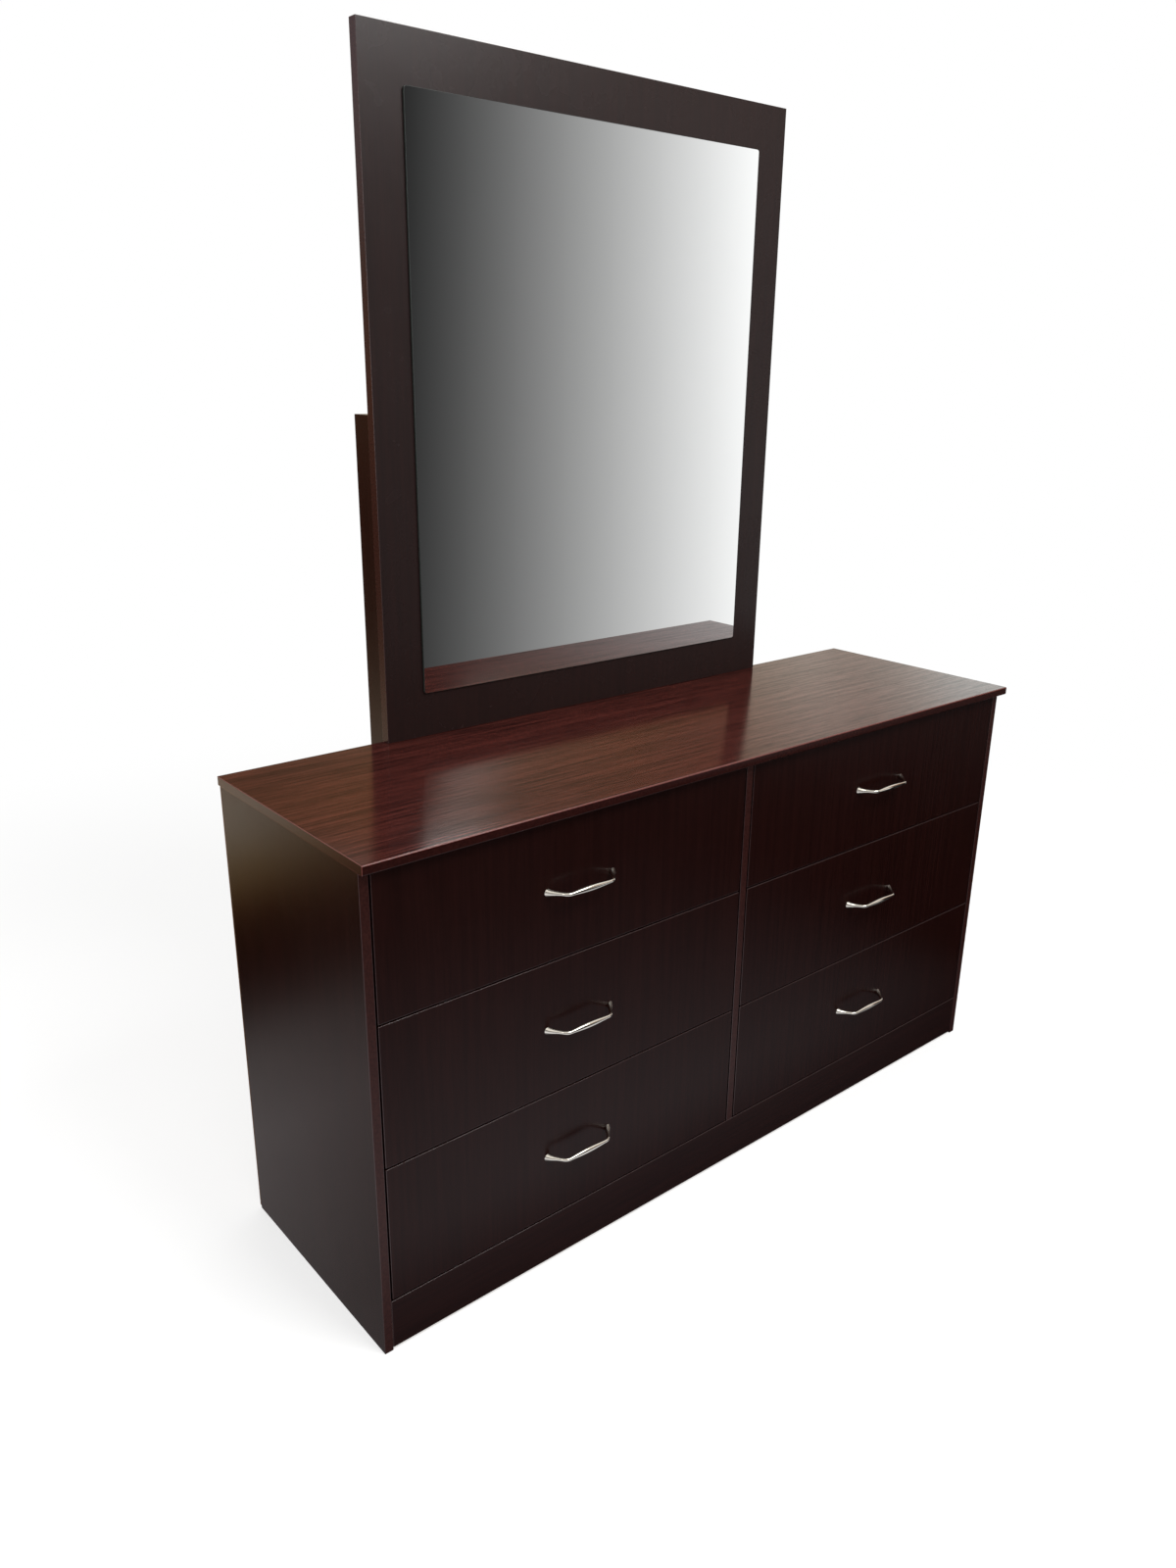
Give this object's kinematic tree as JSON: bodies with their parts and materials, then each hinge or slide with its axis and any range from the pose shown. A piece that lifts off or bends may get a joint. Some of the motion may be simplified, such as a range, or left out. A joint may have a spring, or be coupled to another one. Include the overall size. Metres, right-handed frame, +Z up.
{
  "type": "dressing table with mirror",
  "caption": "Low wide dresser of drawers on roller slides, with bow handles, that carries a tall rectangular mirror board held by posts behind it.",
  "frame": {"origin": "on the floor, at the middle of the whole piece's width and depth", "axes": "+Z up; the drawers face and open along -Y; +X to the right of someone who faces the drawers"},
  "size_m": [1.5, 0.5099, 1.8863],
  "materials": {
    "dark_board": "semi-gloss dark mahogany foil on particle board, faint vertical grain, redder banded edges",
    "top_board": "glossy red-brown mahogany foil on particle board, streaky grain along the width",
    "box_board": "matt brown foil on particle board",
    "hardboard": "smooth brown hardboard",
    "slide_steel": "cream epoxy coating on folded steel",
    "handle": "polished warm nickel plating",
    "mirror_glass": "silvered float glass with ground edges"
  },
  "bodies": {
    "carcass": {"top_panel": "top_board", "side_panel_left": "dark_board", "side_panel_right": "dark_board", "centre_divider": "dark_board", "plinth_front": "dark_board", "back_rail_lower": "dark_board", "back_rail_upper": "dark_board", "back_panel": "hardboard", "mirror_board": "dark_board", "mirror_glass": "mirror_glass", "mirror_support_left": "dark_board", "mirror_support_right": "dark_board", "bottom_left_channel_left": "slide_steel", "bottom_left_channel_right": "slide_steel", "bottom_right_channel_left": "slide_steel", "bottom_right_channel_right": "slide_steel", "middle_left_channel_left": "slide_steel", "middle_left_channel_right": "slide_steel", "middle_right_channel_left": "slide_steel", "middle_right_channel_right": "slide_steel", "top_left_channel_left": "slide_steel", "top_left_channel_right": "slide_steel", "top_right_channel_left": "slide_steel", "top_right_channel_right": "slide_steel"},
    "bottom_left_drawer": {"bottom_left_drawer_front": "dark_board", "bottom_left_drawer_side_left": "box_board", "bottom_left_drawer_side_right": "box_board", "bottom_left_drawer_back": "box_board", "bottom_left_drawer_bottom": "hardboard", "bottom_left_handle": "handle"},
    "bottom_right_drawer": {"bottom_right_drawer_front": "dark_board", "bottom_right_drawer_side_left": "box_board", "bottom_right_drawer_side_right": "box_board", "bottom_right_drawer_back": "box_board", "bottom_right_drawer_bottom": "hardboard", "bottom_right_handle": "handle"},
    "middle_left_drawer": {"middle_left_drawer_front": "dark_board", "middle_left_drawer_side_left": "box_board", "middle_left_drawer_side_right": "box_board", "middle_left_drawer_back": "box_board", "middle_left_drawer_bottom": "hardboard", "middle_left_handle": "handle"},
    "middle_right_drawer": {"middle_right_drawer_front": "dark_board", "middle_right_drawer_side_left": "box_board", "middle_right_drawer_side_right": "box_board", "middle_right_drawer_back": "box_board", "middle_right_drawer_bottom": "hardboard", "middle_right_handle": "handle"},
    "top_left_drawer": {"top_left_drawer_front": "dark_board", "top_left_drawer_side_left": "box_board", "top_left_drawer_side_right": "box_board", "top_left_drawer_back": "box_board", "top_left_drawer_bottom": "hardboard", "top_left_handle": "handle"},
    "top_right_drawer": {"top_right_drawer_front": "dark_board", "top_right_drawer_side_left": "box_board", "top_right_drawer_side_right": "box_board", "top_right_drawer_back": "box_board", "top_right_drawer_bottom": "hardboard", "top_right_handle": "handle"}
  },
  "joints": [
    {"name": "bottom_left_drawer_slide", "type": "slide", "parent": "carcass", "child": "bottom_left_drawer", "axis": [0, -1, 0], "range_m": [0, 0.27]},
    {"name": "bottom_right_drawer_slide", "type": "slide", "parent": "carcass", "child": "bottom_right_drawer", "axis": [0, -1, 0], "range_m": [0, 0.27]},
    {"name": "middle_left_drawer_slide", "type": "slide", "parent": "carcass", "child": "middle_left_drawer", "axis": [0, -1, 0], "range_m": [0, 0.27]},
    {"name": "middle_right_drawer_slide", "type": "slide", "parent": "carcass", "child": "middle_right_drawer", "axis": [0, -1, 0], "range_m": [0, 0.27]},
    {"name": "top_left_drawer_slide", "type": "slide", "parent": "carcass", "child": "top_left_drawer", "axis": [0, -1, 0], "range_m": [0, 0.27]},
    {"name": "top_right_drawer_slide", "type": "slide", "parent": "carcass", "child": "top_right_drawer", "axis": [0, -1, 0], "range_m": [0, 0.27]}
  ]
}
